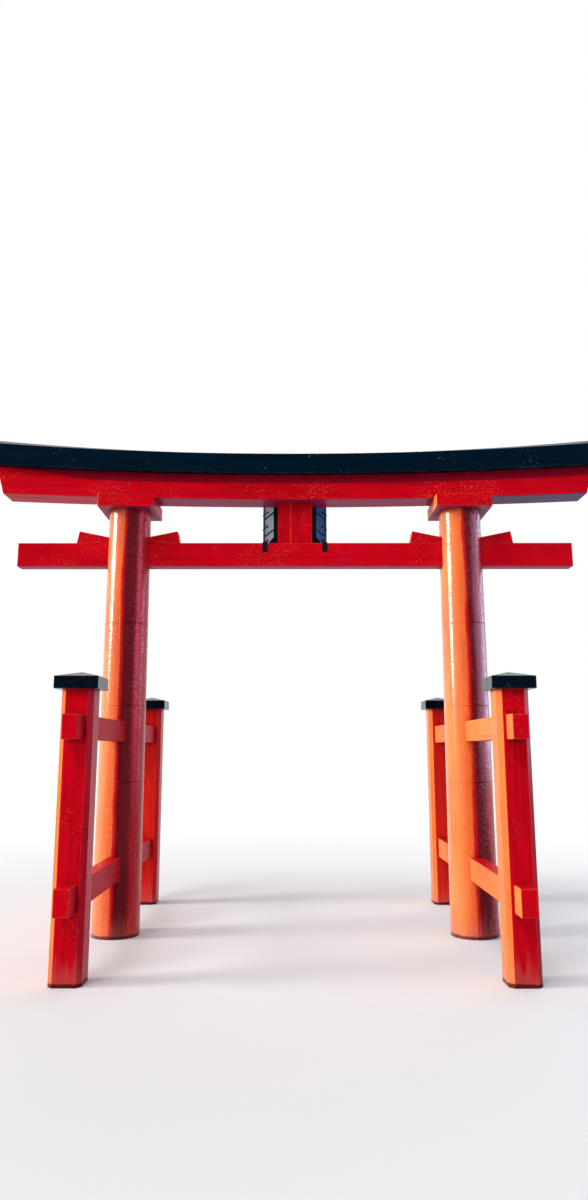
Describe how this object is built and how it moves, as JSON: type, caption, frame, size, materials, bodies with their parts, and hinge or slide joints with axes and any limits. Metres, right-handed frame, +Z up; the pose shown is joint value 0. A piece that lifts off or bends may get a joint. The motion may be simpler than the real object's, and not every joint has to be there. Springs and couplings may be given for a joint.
{
  "type": "torii gate",
  "caption": "Torii gate on round columns with square brace posts and tie beams, a wedged through rail, an upswept red lintel and a black ridged roof beam.",
  "frame": {"origin": "middle of the gate at the water line, on the plane of the six feet", "axes": "+X along the gate to the right as seen from the path, +Y from the path to the lake, +Z up"},
  "size_m": [9.4678, 5.699, 7.2516],
  "materials": {
    "vermilion_timber": "glossy vermilion paint on timber, faintly streaked",
    "black_timber": "glossy black paint on timber",
    "plaque_lacquer": "blue-black lacquer",
    "hook_iron": "black iron, satin"
  },
  "bodies": {
    "root": {"brace_post_left_back": "vermilion_timber", "brace_post_left_front": "vermilion_timber", "brace_post_right_back": "vermilion_timber", "brace_post_right_front": "vermilion_timber", "head_block_left": "vermilion_timber", "head_block_right": "vermilion_timber", "lintel_left": "vermilion_timber", "lintel_middle": "vermilion_timber", "lintel_right": "vermilion_timber", "lower_tie_beam_left": "vermilion_timber", "lower_tie_beam_right": "vermilion_timber", "main_column_left": "vermilion_timber", "main_column_right": "vermilion_timber", "plaque_board": "plaque_lacquer", "plaque_frame_bottom": "plaque_lacquer", "plaque_frame_left": "plaque_lacquer", "plaque_frame_right": "plaque_lacquer", "plaque_frame_top": "plaque_lacquer", "plaque_hook_left": "hook_iron", "plaque_hook_right": "hook_iron", "post_cap_left_back": "black_timber", "post_cap_left_front": "black_timber", "post_cap_right_back": "black_timber", "post_cap_right_front": "black_timber", "rail_wedge_left_inner": "vermilion_timber", "rail_wedge_left_outer": "vermilion_timber", "rail_wedge_right_inner": "vermilion_timber", "rail_wedge_right_outer": "vermilion_timber", "roof_beam": "black_timber", "strut": "vermilion_timber", "through_rail": "vermilion_timber", "upper_tie_beam_left": "vermilion_timber", "upper_tie_beam_right": "vermilion_timber"}
  },
  "joints": []
}
